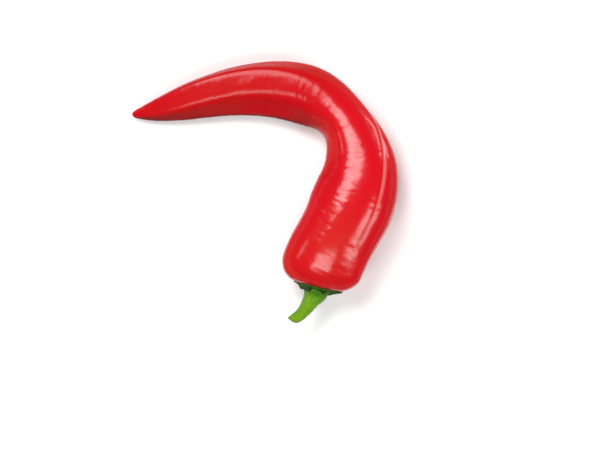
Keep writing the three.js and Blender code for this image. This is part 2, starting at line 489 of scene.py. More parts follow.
@dataclass(frozen=True)
class Spine:
    """A line through space, and numbers such as a radius that vary along it.

    Attributes:
        rows: Where each station is, in metres, followed by its numbers.
    """

    rows: np.ndarray

    @classmethod
    def laid(cls, stations: tuple[tuple[float, ...], ...]) -> Spine:
        """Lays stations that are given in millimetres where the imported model's fruit is.

        Args:
            stations: Each one's place and numbers.

        Returns:
            The line, in metres.
        """
        low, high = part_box("fruit")
        scale = np.array(high - low) / FRUIT_SIZE
        rows = np.array(stations)
        places = np.array(low) + (rows[:, :3] - FRUIT_LOW) * scale
        return cls(np.hstack([places, rows[:, 3:] * scale[2]]))

    @property
    def knots(self) -> np.ndarray:
        """Each station's distance from the first."""
        return np.r_[0, np.cumsum(np.linalg.norm(np.diff(self.rows[:, :3], axis=0), axis=1))]

    @property
    def length(self) -> float:
        """The whole length."""
        return float(self.knots[-1])

    def points(self, distances: np.ndarray) -> np.ndarray:
        """The places at some distances along."""
        return smooth_rows(self.knots, self.rows, distances)[:, :3]

    def numbers(self, distances: np.ndarray) -> np.ndarray:
        """The numbers at some distances along."""
        return smooth_rows(self.knots, self.rows, distances)[:, 3:]

    def headings(self, distances: np.ndarray) -> np.ndarray:
        """The directions that the line runs in at some distances along."""
        step = self.length / HEADING_STEPS
        ahead = self.points(np.minimum(distances + step, self.length))
        return unit(ahead - self.points(np.maximum(distances - step, 0)))


def unit(vectors: np.ndarray) -> np.ndarray:
    """The same directions with a length of 1."""
    return vectors / np.linalg.norm(vectors, axis=-1, keepdims=True)


def rings_mesh(name: str, centres: np.ndarray, carried: dict[str, np.ndarray]) -> bpy.types.Mesh:
    """A mesh of loose vertices, one for each ring of a skin.

    Args:
        name: The mesh's name.
        centres: The middle of each ring.
        carried: What each ring carries, by attribute name: a number or a vector each.

    Returns:
        The mesh.
    """
    mesh = bpy.data.meshes.new(name)
    mesh.from_pydata(centres.tolist(), [], [])
    for key, values in carried.items():
        is_vector = values.ndim == 2
        layer = mesh.attributes.new(key, "FLOAT_VECTOR" if is_vector else "FLOAT", "POINT")
        layer.data.foreach_set("vector" if is_vector else "value", values.astype(np.float32).ravel())
    return mesh


# ---- Finishes ----


class Ripeness(Enum):
    """How far a sweet pepper has ripened, as its skin's main and second colours."""

    RED = ((0.54, 0.002, 0.008), (0.51, 0.008, 0.004))
    ORANGE = ((0.90, 0.22, 0.005), (0.88, 0.30, 0.010))
    YELLOW = ((0.93, 0.62, 0.008), (0.90, 0.50, 0.006))


def new_finish(name: str) -> tuple[bpy.types.Material, Graph]:
    """An empty material and the builder of its tree."""
    material = bpy.data.materials.new(name)
    material.use_nodes = True
    return material, Graph(material.node_tree)


def surface(graph: Graph, inputs: dict[str, object]) -> None:
    """Ends a material's tree with its shader."""
    shader = graph.node("ShaderNodeBsdfPrincipled", {}, inputs)
    way_out = graph.tree.nodes.new("ShaderNodeOutputMaterial")
    graph.tree.links.new(shader.socket, way_out.inputs["Surface"])


@dataclass(frozen=True)
class SkinFinish:
    """Waxy, glossy pepper skin.

    Attributes:
        ripeness: The colours.
        tip_red_and_painted_shade: Colour of its deeper red tip end, and of painted shade on the inner
            flank there.
        painted_fold_highlight: Colour of the painted highlight, a paler line along a fold.
        wax: How strong the clear wax over the skin is on the upper side, which is rubbed to a shine.
        flank_wax: How strong it is on the flanks.
        edge_wax: How strong it is where the skin stands upright.
        wax_roughness: How blurred the wax's reflections are.
        wax_ior: The wax's index of refraction.
        skin_roughness: How blurred the skin's own reflections are.
        skin_gloss: How strong the skin's own reflections are.
        wrinkle: Height of the fine wrinkles across the fruit.
        grain: Height of the finest grain.
        tip_fade: Distances from the stem end between which the tip end's look sets in.
        shoulder_fade: Distances from the stem end between which the shoulder's shine sets in.
    """

    ripeness: Ripeness = Ripeness.RED
    tip_red_and_painted_shade: Colour = (0.15, 0.002, 0.001)
    painted_fold_highlight: Colour = (0.80, 0.22, 0.20)
    wax: float = 0.9
    flank_wax: float = 0.08
    edge_wax: float = 0.85
    wax_roughness: float = 0.2
    wax_ior: float = 1.45
    skin_roughness: float = 0.4
    skin_gloss: float = 0.03
    wrinkle: float = 0.6 * MM
    grain: float = 0.008 * MM
    tip_fade: tuple[float, float] = (85 * MM, 115 * MM)
    shoulder_fade: tuple[float, float] = (75 * MM, 30 * MM)

    def material(self) -> bpy.types.Material:
        """Makes the material, which reads the skin's own `unbent` place on the straightened fruit."""
        material, graph = new_finish("pepper_skin")
        place = graph.attribute("unbent")
        facing_up = graph.attribute("upward", "Fac")
        side, _, along = place.parts()
        tipward = along.rise(*self.tip_fade)
        shader = {
            "Base Color": self.colour(graph, place, facing_up, side, tipward),
            "Roughness": self.skin_roughness + graph.noise(place, 120) * 0.1,
            "Specular IOR Level": self.skin_gloss,
            "Coat Weight": self.shine(graph, place, facing_up, along, tipward),
            "Coat Roughness": self.wax_roughness,
            "Coat IOR": self.wax_ior,
            "Normal": self.relief(graph, place),
        }
        surface(graph, shader)
        return material

    def colour(self, graph: Graph, place: Wire, facing_up: Wire, side: Wire, tipward: Wire) -> Wire:
        """The skin's patchy red, deeper towards the tip, with painted shade on the tip's inner flank and
        a painted highlight along a fold.

        Args:
            graph: The material's tree.
            place: The place on the straightened fruit.
            facing_up: How far the skin faces up.
            side: How far it is out to the outer side.
            tipward: 0 at the stem's half and 1 at the tip's.

        Returns:
            The colour.
        """
        main, second = self.ripeness.value
        patches = graph.noise(place * (1, 1, 0.5), 45, detail=3).rise(0.38, 0.68)
        colour = graph.blend(patches * 0.8, main, second)
        # Painted shade: darker red on the tip's inner flank where the skin faces sideways or down, plus
        # a deeper red over the whole tip.
        painted_inner_shade = facing_up.rise(0.85, 0.4) * side.rise(0, -3 * MM)
        colour = graph.blend(tipward * (painted_inner_shade * 0.8 + 0.17), colour, self.tip_red_and_painted_shade)
        # Painted highlight: a paler pink line along the crease, where light would catch its edge.
        painted_fold_highlight_mask = graph.attribute("fold", "Fac").rise(0.010, 0.019)
        return graph.blend(painted_fold_highlight_mask * 0.5, colour, self.painted_fold_highlight)

    def shine(self, graph: Graph, place: Wire, facing_up: Wire, along: Wire, tipward: Wire) -> Wire:
        """How strong the wax is: unevenly rubbed on top, thin on the flanks, strong at the edges.

        Args:
            graph: The material's tree.
            place: The place on the straightened fruit.
            facing_up: How far the skin faces up.
            along: The distance from the stem end.
            tipward: 0 at the stem's half and 1 at the tip's.

        Returns:
            The wax's strength.
        """
        rubbed = facing_up.rise(0.55, 0.9) * (0.72 + graph.noise(place, 160, detail=3) * 0.56)
        edge = facing_up.rise(0.52, 0.25) * (0.35 + along.rise(*self.shoulder_fade) * 0.65)
        return (rubbed * self.wax + edge * self.edge_wax) * (1 - tipward * 0.6) + self.flank_wax

    def relief(self, graph: Graph, place: Wire) -> Wire:
        """The bump of wrinkles across the fruit, in patches, and of a fine grain."""
        across = graph.noise(place * (0.35, 0.35, 1), 650, detail=3, roughness=0.6)
        patchy = graph.noise(place, 60).rise(0.42, 0.62)
        height = across * patchy * self.wrinkle + graph.noise(place, 1500, detail=2) * self.grain
        return graph.node("ShaderNodeBump", {}, {"Strength": 1, "Distance": 1, "Height": height})


@dataclass(frozen=True)
class CalyxFinish:
    """Dark green, warty calyx with a lighter thin edge and dry ends of its teeth.

    Attributes:
        dark: Colour of its lowest parts.
        light: Colour of its warts and mottling.
        edge: Colour of its thin edge.
        dry: Colour of the ends of its teeth.
        roughness: How blurred its reflections are.
        gloss: How strong they are.
        grain: Height of its fine grain.
    """

    dark: Colour = (0.008, 0.030, 0.003)
    light: Colour = (0.045, 0.085, 0.005)
    edge: Colour = (0.05, 0.10, 0.010)
    dry: Colour = (0.06, 0.055, 0.012)
    roughness: float = 0.42
    gloss: float = 0.05
    grain: float = 0.05 * MM

    def material(self) -> bpy.types.Material:
        """Makes the material, which reads the calyx's `rimward` share and its `wart` height."""
        material, graph = new_finish("calyx_green")
        place = graph.node("ShaderNodeTexCoord", out="Object")
        rimward = graph.attribute("rimward", "Fac")
        wart = graph.attribute("wart", "Fac")
        colour = graph.blend(wart.rise(0.1, 0.9), self.dark, self.light)
        mottle = graph.noise(place, 420, detail=3).rise(0.35, 0.7)
        colour = graph.blend(mottle * 0.4, colour, self.light)
        colour = graph.blend(rimward.rise(0.93, 1.0) * 0.8, colour, self.edge)
        tooth_end = graph.attribute("tooth", "Fac").rise(0.55, 1.0)
        colour = graph.blend(tooth_end * 0.7, colour, self.dry)
        fine = graph.noise(place, 2600, detail=3)
        relief = {"Strength": 0.6, "Distance": self.grain, "Height": fine}
        shader = {
            "Base Color": colour,
            "Roughness": self.roughness + mottle * 0.15,
            "Specular IOR Level": self.gloss,
            "Normal": graph.node("ShaderNodeBump", {}, relief),
        }
        surface(graph, shader)
        return material


@dataclass(frozen=True)
class StalkFinish:
    """Yellow-green stalk with paler ribs and a dry, pale cut end.

    Attributes:
        flesh: Its main colour.
        rib: Colour of its lighter streaks.
        foot: Colour at its foot and in its patches.
        cut: Colour of the pith in its cut.
        cut_rim: Colour of the cut's dry rim and fibres.
        roughness: How blurred its reflections are.
        gloss: How strong they are.
        wrinkle: Height of its fine wrinkles.
    """

    flesh: Colour = (0.105, 0.26, 0.002)
    rib: Colour = (0.20, 0.37, 0.003)
    foot: Colour = (0.030, 0.13, 0.003)
    cut: Colour = (0.45, 0.50, 0.18)
    cut_rim: Colour = (0.20, 0.16, 0.05)
    roughness: float = 0.38
    gloss: float = 0.14
    wrinkle: float = 0.3 * MM

    def material(self) -> bpy.types.Material:
        """Makes the material, which reads the stalk's own `unbent` place and its `cut` share."""
        material, graph = new_finish("stalk_green")
        place = graph.attribute("unbent")
        along = graph.attribute("share", "Fac")
        streaks = graph.noise(place * (1, 1, 0.12), 900, detail=3).rise(0.35, 0.7)
        colour = graph.blend(streaks * 0.6, self.flesh, self.rib)
        colour = graph.blend(graph.noise(place, 260).rise(0.45, 0.75) * 0.35, colour, self.foot)
        colour = graph.blend((along + (streaks - 0.5) * 0.1).rise(0.42, 0.08) * 0.9, colour, self.foot)
        end = graph.attribute("cut", "Fac")
        colour = graph.blend(end.rise(0.02, 0.2), colour, self.cut_rim)
        fibres = graph.cells(place, 2600).rise(0.1, 0.5)
        colour = graph.blend(end.rise(0.25, 0.4), colour, graph.blend(fibres, self.cut, self.cut_rim))
        fine = graph.noise(place * (0.25, 0.25, 1), 1500, detail=3)
        relief = {"Strength": 1, "Distance": self.wrinkle, "Height": fine}
        shader = {
            "Base Color": colour,
            "Roughness": self.roughness + streaks * 0.12,
            "Specular IOR Level": self.gloss,
            "Normal": graph.node("ShaderNodeBump", {}, relief),
        }
        surface(graph, shader)
        return material


def dress(piece: bpy.types.Object, node: str) -> None:
    """Puts a finished piece in the place of a solid.

    Args:
        piece: The piece.
        node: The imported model's node that it stands for.
    """
    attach(piece, ONLY_BODY)
    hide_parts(node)
    faces = len(piece.data.polygons)
    log.info("%s: %d faces in place of %s", piece.name, faces, node)


# ---- Fruit ----


@dataclass(frozen=True)
class Ridge:
    """A ridge along the fruit, or a crease where its lift is below zero.

    Attributes:
        spread: Its half width, in degrees round the fruit.
        path: Share of the fruit's length, angle in degrees from the outer side over the top, and lift as
            a share of the radius.
    """

    spread: float
    path: tuple[tuple[float, float, float], ...]

    def along(self, shares: np.ndarray) -> np.ndarray:
        """The ridge at some shares of the fruit's length.

        Args:
            shares: Shares of the length.

        Returns:
            Its angle in radians, its lift, and its sharpness, for each share.
        """
        rows = np.array(self.path)
        table = smooth_rows(rows[:, 0], rows[:, 1:], shares)
        sharpness = np.full(len(shares), 1 / math.radians(self.spread) ** 2)
        return np.stack([np.radians(table[:, 0]), table[:, 1], sharpness], axis=1)


@dataclass(frozen=True)
class Facet:
    """A flatter side of the fruit. The fruit's ridges are where its facets meet.

    Attributes:
        path: Share of the fruit's length, the way the facet faces in degrees from the outer side over
            the top, and its distance from the fruit's middle in radii.
    """

    path: tuple[tuple[float, float, float], ...]

    def along(self, shares: np.ndarray) -> np.ndarray:
        """The facet at some shares of the fruit's length.

        Args:
            shares: Shares of the length.

        Returns:
            Its angle in radians, the inverse of its distance, and nothing, for each share.
        """
        rows = np.array(self.path)
        table = smooth_rows(rows[:, 0], rows[:, 1:], shares)
        return np.stack([np.radians(table[:, 0]), 1 / table[:, 1], np.zeros(len(shares))], axis=1)


@dataclass
class Fruit:
    """The hooked red fruit, from its shoulder to its tip.

    Attributes:
        finish: The skin's finish.
        stations: Where the middle of the fruit runs, and how far its skin stands to the side and upwards
            there, in millimetres.
        facets: The flatter sides.
        corners: Share of the fruit's length, and how sharply one facet turns into the next there.
        ridges: The narrow ridges and creases.
        hollow: Depth of the hollow that the calyx sits in.
        crest: Where the crest round the hollow is, as a share of the radius.
        shoulder: Length of the rounded shoulder.
        tip: Radius of the tip.
        rings: How many rings the body's skin has.
        hollow_rings: How many the hollow has.
        shoulder_rings: How many the shoulder has.
        tip_rings: How many the tip has.
        segments: How many faces there are round it.
        swell: Height of the broad unevenness of the skin.
        dents: Height of its dents, as a share of the swell.
        ripples: Height of its ripples across, as a share of the swell.
    """

    finish: SkinFinish = SkinFinish()
    stations: tuple[tuple[float, ...], ...] = (
        (25.8, -46.7, 15.3, 19.3, 13.6),
        (28.2, -38.0, 16.2, 20.3, 15.4),
        (32.3, -28.8, 17.0, 20.4, 16.7),
        (37.7, -18.9, 17.6, 20.3, 17.3),
        (42.6, -8.7, 17.9, 21.1, 17.5),
        (47.3, 8.5, 17.0, 19.3, 16.6),
        (44.9, 25.0, 15.6, 15.1, 14.9),
        (38.3, 37.0, 14.2, 12.6, 13.4),
        (27.3, 45.6, 13.0, 14.5, 12.2),
        (9.8, 50.7, 11.7, 14.7, 11.0),
        (-10.3, 50.9, 10.2, 12.7, 9.5),
        (-29.8, 47.4, 8.8, 10.4, 8.2),
        (-45.5, 43.2, 7.0, 7.8, 6.4),
        (-59.0, 39.9, 5.0, 4.2, 4.0),
        (-66.9, 38.6, 4.3, 1.4, 1.3),
    )
    facets: tuple[Facet, ...] = (
        # The top.
        Facet(
            (
                (0.00, 96, 0.87),
                (0.10, 96, 0.87),
                (0.20, 95, 0.92),
                (0.30, 97, 0.91),
                (0.38, 97, 0.90),
                (0.45, 96, 0.90),
                (0.52, 93, 0.91),
                (0.60, 91, 0.92),
                (0.90, 91, 0.93),
                (1.00, 92, 0.96),
            )
        ),
        # The upper side of the inner flank.
        Facet(
            (
                (0.00, 142, 0.97),
                (0.20, 142, 0.97),
                (0.30, 144, 0.94),
                (0.38, 148, 0.90),
                (0.45, 151, 0.85),
                (0.50, 149, 0.78),
                (0.60, 141, 0.72),
                (0.75, 142, 0.72),
                (0.90, 146, 0.80),
                (1.00, 150, 0.95),
            )
        ),
        # The lower side of the inner flank, and the underside.
        Facet(((0.00, 205, 0.97), (0.40, 208, 0.96), (1.00, 210, 0.96))),
        Facet(((0.00, 270, 0.97), (1.00, 270, 0.97))),
        # The outer flank, which turns under towards the tip.
        Facet(
            (
                (0.00, -10, 0.98),
                (0.30, -5, 0.97),
                (0.40, -8, 0.96),
                (0.50, -20, 0.95),
                (0.60, -45, 0.93),
                (1.00, -50, 0.95),
            )
        ),
        # Between the top and the outer flank.
        Facet(
            (
                (0.00, 62, 0.92),
                (0.10, 60, 0.89),
                (0.20, 52, 0.95),
                (0.33, 50, 0.97),
                (0.42, 56, 0.96),
                (0.47, 48, 0.96),
                (0.51, 36, 0.96),
                (0.56, 23, 0.96),
                (0.62, 15, 0.97),
                (1.00, 9, 0.98),
            )
        ),
    )
    corners: tuple[tuple[float, float], ...] = (
        (0.00, 5.5),
        (0.12, 6.0),
        (0.22, 6.0),
        (0.30, 7.5),
        (0.40, 7.0),
        (0.50, 5.5),
        (0.60, 7.5),
        (0.85, 9.0),
        (0.95, 7.0),
        (1.00, 5.0),
    )
    # One crease, from the shoulder over the outer side of the bend.
    ridges: tuple[Ridge, ...] = (
        Ridge(
            4,
            (
                (0.100, 50, 0.000),
                (0.160, 53, -0.006),
                (0.220, 54, -0.014),
                (0.285, 52, -0.020),
                (0.330, 44, -0.020),
                (0.380, 31, -0.020),
                (0.430, 12, -0.020),
                (0.470, -4, 0.000),
            ),
        ),
    )
    hollow: float = 2.0 * MM
    crest: float = 0.6
    shoulder: float = 10 * MM
    tip: float = 1.7 * MM
    rings: int = 380
    hollow_rings: int = 24
    shoulder_rings: int = 40
    tip_rings: int = 12
    segments: int = 216
    swell: float = 0.55 * MM
    dents: float = 0.5
    ripples: float = 0.7

    def spine(self) -> Spine:
        """The line that the fruit follows, with its reach to the side and upwards."""
        return Spine.laid(self.stations)

    def profile(self, length: float) -> tuple[np.ndarray, np.ndarray]:
        """Where each ring of the skin lies.

        Args:
            length: The spine's length.

        Returns:
            Each ring's distance along, and its share of the full radius.
        """
        out = np.linspace(0, 1, self.hollow_rings + 1)
        shoulder = np.linspace(0, math.pi / 2, self.shoulder_rings + 1)[1:]
        body = np.linspace(self.shoulder, length - self.tip, self.rings + 1)[1:]
        end = np.linspace(0, math.pi / 2, self.tip_rings + 1)[1:]
        distances = [
            self.hollow * (0.5 + 0.5 * np.cos(math.pi * out)),
            self.shoulder * (1 - np.cos(shoulder)),
            body,
            length - self.tip * (1 - np.sin(end)),
        ]
        shares = [
            self.crest * out,
            self.crest + (1 - self.crest) * np.sin(shoulder),
            np.ones(len(body)),
            np.cos(end),
        ]
        return np.concatenate(distances), np.concatenate(shares)

    def base(self) -> bpy.types.Mesh:
        """The rings that the skin is stretched over."""
        spine = self.spine()
        distances, reach = self.profile(spine.length)
        headings = spine.headings(distances)
        outward = unit(np.cross(headings, UP))
        upward = np.cross(outward, headings)
        side, rise = spine.numbers(distances).T * reach
        carried = {
            "outward": outward * side[:, None],
            "upward": upward * rise[:, None],
            "radii": np.stack([side, rise, distances], axis=1),
        }
        shares = distances / spine.length
        corners = np.array(self.corners)
        carried["corner"] = smooth_rows(corners[:, 0], corners[:, 1:], shares)[:, 0]
        carried |= {f"facet_{i}": facet.along(shares) for i, facet in enumerate(self.facets)}
        carried |= {f"ridge_{i}": ridge.along(shares) for i, ridge in enumerate(self.ridges)}
        return rings_mesh("fruit_rings", spine.points(distances), carried)

    def recipe(self) -> Recipe:
        """The tree that stretches a skin over the rings, with its ridges, swells and resting face."""
        recipe = Recipe("skin_over_rings")
        rings, segments = recipe.input("Rings", "Int"), recipe.input("Segments", "Int")
        swell, floor = recipe.input("Swell", "Float"), recipe.input("Floor", "Float")
        material = recipe.input("Skin", "Material")
        sheet, ring, turn = recipe.sheet(rings, segments)
        corner = recipe.carried("corner", ring, "FLOAT")
        nearness = 0
        for i in range(len(self.facets)):
            angle, inverse, _ = recipe.carried(f"facet_{i}", ring).parts()
            nearness = nearness + ((turn - angle).cosine().at_least(0) * inverse) ** corner
        reach = nearness ** (-1 / corner)
        lift, fold = 0, 0
        for i in range(len(self.ridges)):
            angle, height, sharpness = recipe.carried(f"ridge_{i}", ring).parts()
            bump = (((turn - angle).cosine() - 1) * sharpness).exponential() * height
            lift = lift + bump
            fold = fold + (bump * -1).at_least(0)
        cosine = self.spread_evenly(recipe, ring, turn.cosine() * reach) * (lift + 1)
        sine = self.spread_evenly(recipe, ring, turn.sine() * reach) * (lift + 1)
        outward, upward = recipe.carried("outward", ring), recipe.carried("upward", ring)
        skin = recipe.moved(sheet, recipe.middle(ring) + outward * cosine + upward * sine)
        side, rise, along = recipe.carried("radii", ring).parts()
        skin = recipe.stored(skin, "unbent", recipe.vector(side * cosine, rise * sine, along))
        skin = recipe.stored(skin, "fold", fold, "FLOAT")
        skin = recipe.sewn(skin)
        place = recipe.own("unbent")
        broad = recipe.noise(place * (1, 1, 0.6), 55, detail=1) - 0.5
        dents = recipe.noise(place, 130, detail=1) - 0.5
        ripples = recipe.noise(place * (0.3, 0.3, 1), 420, detail=2) - 0.5
        ripples = ripples * recipe.noise(place, 70).rise(0.4, 0.6)
        relief = (broad + dents * self.dents + ripples * self.ripples) * swell
        skin = recipe.shifted(skin, recipe.along_normal(relief))
        x, y, z = recipe.node("GeometryNodeInputPosition").parts()
        skin = recipe.moved(skin, recipe.vector(x, y, z.at_least(floor)))
        _, _, facing_up = recipe.node("GeometryNodeInputNormal").parts()
        skin = recipe.stored(skin, "upward", facing_up, "FLOAT")
        recipe.serve(skin, material)
        return recipe

    @staticmethod
    def spread_evenly(recipe: Recipe, ring: Wire, part: Wire) -> Wire:
        """Stretches one direction of each ring's outline so that it runs from -1 to 1.

        Args:
            recipe: The tree.
            ring: Each vertex's ring.
            part: How far each vertex is out in that direction.

        Returns:
            The stretched distance.
        """
        lowest = recipe.node("GeometryNodeFieldMinAndMax", {}, {"Value": part, "Group ID": ring})
        highest = lowest.output("Max")
        return (part * 2 - lowest - highest) / (highest - lowest)

    def build(self) -> bpy.types.Object:
        """Grows the fruit and puts it in the place of its solid."""
        base = self.base()
        values = {
            "Rings": len(base.vertices),
            "Segments": self.segments,
            "Swell": self.swell,
            "Floor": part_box("fruit")[0].z,
            "Skin": self.finish.material(),
        }
        piece = self.recipe().grow("fruit_skin", base, values)
        dress(piece, "fruit")
        return piece


# ---- Calyx and stalk ----


@dataclass(frozen=True)
class Stem:
    """The fruit's stem end.

    Attributes:
        foot: Where its axis starts.
        axis: The way it points, away from the fruit.
        outward: The direction square to it towards the outer side.
        upward: The direction square to both.
    """

    foot: np.ndarray
    axis: np.ndarray
    outward: np.ndarray
    upward: np.ndarray

    @classmethod
    def of(cls, fruit: Fruit) -> Stem:
        """Finds the stem end of a fruit."""
        spine = fruit.spine()
        start = np.zeros(1)
        heading = spine.headings(start)[0]
        outward = unit(np.cross(heading, UP))
        return cls(spine.points(start)[0], -heading, outward, np.cross(outward, heading))


@dataclass
class Calyx:
    """The warty green cap with pointed teeth that hugs the fruit's stem end.

    Attributes:
        finish: Its finish.
        teeth: How many teeth it has.
        tooth: A tooth's length, as a share of the cap's radius.
        tooth_slew: How unevenly the teeth stand round it, in radians.
        unevenness: How uneven its rim is, as a share of the radius.
        flatness: The cap's height as a share of its width.
        thickness: Share of the radius, and the cap's height over the fruit there.
        gap: How far its underside stays off the fruit.
        curl: How far the teeth on the outer side curl off the fruit.
        curl_side: Cosine of the angle from the outer side at which the curl ends.
        curl_gain: How steeply the curl sets in from there.
        wart: Height of its warts.
        lump: Height of its lumps.
        rim: Reach of the middle of its thin rim, as a share of the radius.
        ray_start: How far off the fruit the rays start that find it.
        top_rings: Rings of its upper face.
        under_rings: Rings of its underside.
        segments: Faces round it.
    """

    finish: CalyxFinish = CalyxFinish()
    teeth: int = 6
    tooth: float = 0.24
    tooth_slew: float = 5.0
    unevenness: float = 0.16
    flatness: float = 0.82
    thickness: tuple[tuple[float, float], ...] = (
        (0.00, 3.6 * MM),
        (0.40, 3.9 * MM),
        (0.58, 3.6 * MM),
        (0.74, 2.4 * MM),
        (0.88, 1.3 * MM),
        (1.00, 0.7 * MM),
    )
    gap: float = 0.12 * MM
    curl: float = 0.5 * MM
    curl_side: float = 0.55
    curl_gain: float = 2.2
    wart: float = 0.4 * MM
    lump: float = 0.8 * MM
    rim: float = 1.012
    ray_start: float = 20 * MM
    top_rings: int = 84
    under_rings: int = 24
    segments: int = 264

    def base(self, stem: Stem) -> bpy.types.Mesh:
        """The rings of the cap, from the middle of its upper face over the rim and back below."""
        over = np.linspace(0, 1, self.top_rings)
        under = np.linspace(1, 0, self.under_rings)
        knots = np.array(self.thickness)
        height = smooth_rows(knots[:, 0], knots[:, 1:], over)[:, 0]
        carried = {
            "reach": np.r_[over, self.rim, under],
            "height": np.r_[height, height[-1] / 2, np.zeros(len(under))],
        }
        count = len(carried["reach"])
        return rings_mesh("calyx_rings", np.tile(stem.foot, (count, 1)), carried)

    def recipe(self, stem: Stem) -> Recipe:
        """The tree that lays the cap on the fruit and raises its warts."""
        recipe = Recipe("calyx_on_fruit")
        rings, segments = recipe.input("Rings", "Int"), recipe.input("Segments", "Int")
        radius, wart_height = recipe.input("Radius", "Float"), recipe.input("Wart", "Float")
        curl, gap = recipe.input("Curl", "Float"), recipe.input("Gap", "Float")
        fruit, material = recipe.input("Fruit", "Object"), recipe.input("Skin", "Material")
        sheet, ring, turn = recipe.sheet(rings, segments)
        reach = recipe.carried("reach", ring, "FLOAT")
        height = recipe.carried("height", ring, "FLOAT")
        cosine, sine = turn.cosine(), turn.sine()
        uneven = recipe.noise(recipe.vector(cosine, sine, 3), 1.7, detail=2) - 0.5
        toothed = ((turn * self.teeth + sine * uneven * self.tooth_slew).cosine() * 0.5 + 0.5) ** 4
        tooth = toothed * self.tooth * (0.9 + cosine * 0.35)
        rim = radius * (1 + tooth + uneven * self.unevenness)
        out = reach * rim
        across = tuple(float(part) for part in stem.outward)
        up = tuple(float(part) * self.flatness for part in stem.upward)
        axis = tuple(float(part) for part in stem.axis)
        flat = recipe.middle(ring) + (cosine * out).times(across) + (sine * out).times(up)
        level = self.level(recipe, fruit, flat, axis)
        top = height.rise(0.0, 0.1 * MM)
        filled = top * out.rise(radius * 0.95, radius * 0.7)
        level = level - level * filled
        outermost = (cosine - self.curl_side).at_least(0) * self.curl_gain
        curled = reach.rise(0.72, 1.0) * outermost * curl
        place = recipe.vector(cosine * out, sine * out, 0)
        spread = recipe.noise(place, 240, detail=1) * (1.2 * MM)
        spots = recipe.cells(place + recipe.vector(spread, spread, 0), 560)
        where = top * reach.rise(0.5, 0.62) * reach.rise(1.0, 0.93)
        wart = spots.rise(0.62, 0.12) * where
        lump = (recipe.noise(place, 330, detail=1) - 0.5) * where * self.lump
        lift = level + gap + height + curled + wart * wart_height + lump
        cap = recipe.moved(sheet, flat + lift.times(axis))
        cap = recipe.stored(cap, "rimward", reach, "FLOAT")
        cap = recipe.stored(cap, "wart", wart, "FLOAT")
        cap = recipe.stored(cap, "tooth", out / radius * 4 - 3.9, "FLOAT")
        recipe.serve(recipe.sewn(cap), material)
        return recipe

    def level(self, recipe: Recipe, fruit: Wire, flat: Wire, axis: tuple[float, float, float]) -> Wire:
        """How high the fruit's surface is over a flat disc across its stem end.

        Args:
            recipe: The tree.
            fruit: The fruit's piece.
            flat: Each vertex's place on the disc.
            axis: The way the stem end points.

        Returns:
            The height, found by rays along the axis.
        """
        found = recipe.node(
            "GeometryNodeObjectInfo", {"transform_space": "ORIGINAL"}, {"Object": fruit}, "Geometry"
        )
        rays = {
            "Target Geometry": found,
            "Source Position": flat + recipe.vector(*axis) * self.ray_start,
            "Ray Direction": tuple(-part for part in axis),
        }
        below = recipe.node("GeometryNodeRaycast", {}, rays).output("Hit Position") - flat
        return below.calculate("DOT_PRODUCT", below, axis).output("Value")

    def build(self, stem: Stem, fruit: bpy.types.Object) -> bpy.types.Object:
        """Grows the cap on the finished fruit and puts it in the place of its solid.

        Args:
            stem: The fruit's stem end.
            fruit: The fruit's piece.

        Returns:
            The cap's piece.
        """
        low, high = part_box("calyx")
        base = self.base(stem)
        values = {
            "Rings": len(base.vertices),
            "Segments": self.segments,
            "Radius": (high.z - low.z) / 2 / (1 + self.tooth / 2),
            "Wart": self.wart,
            "Curl": self.curl,
            "Gap": self.gap,
            "Fruit": fruit,
            "Skin": self.finish.material(),
        }
        piece = self.recipe(stem).grow("calyx_cap", base, values)
        dress(piece, "calyx")
        return piece


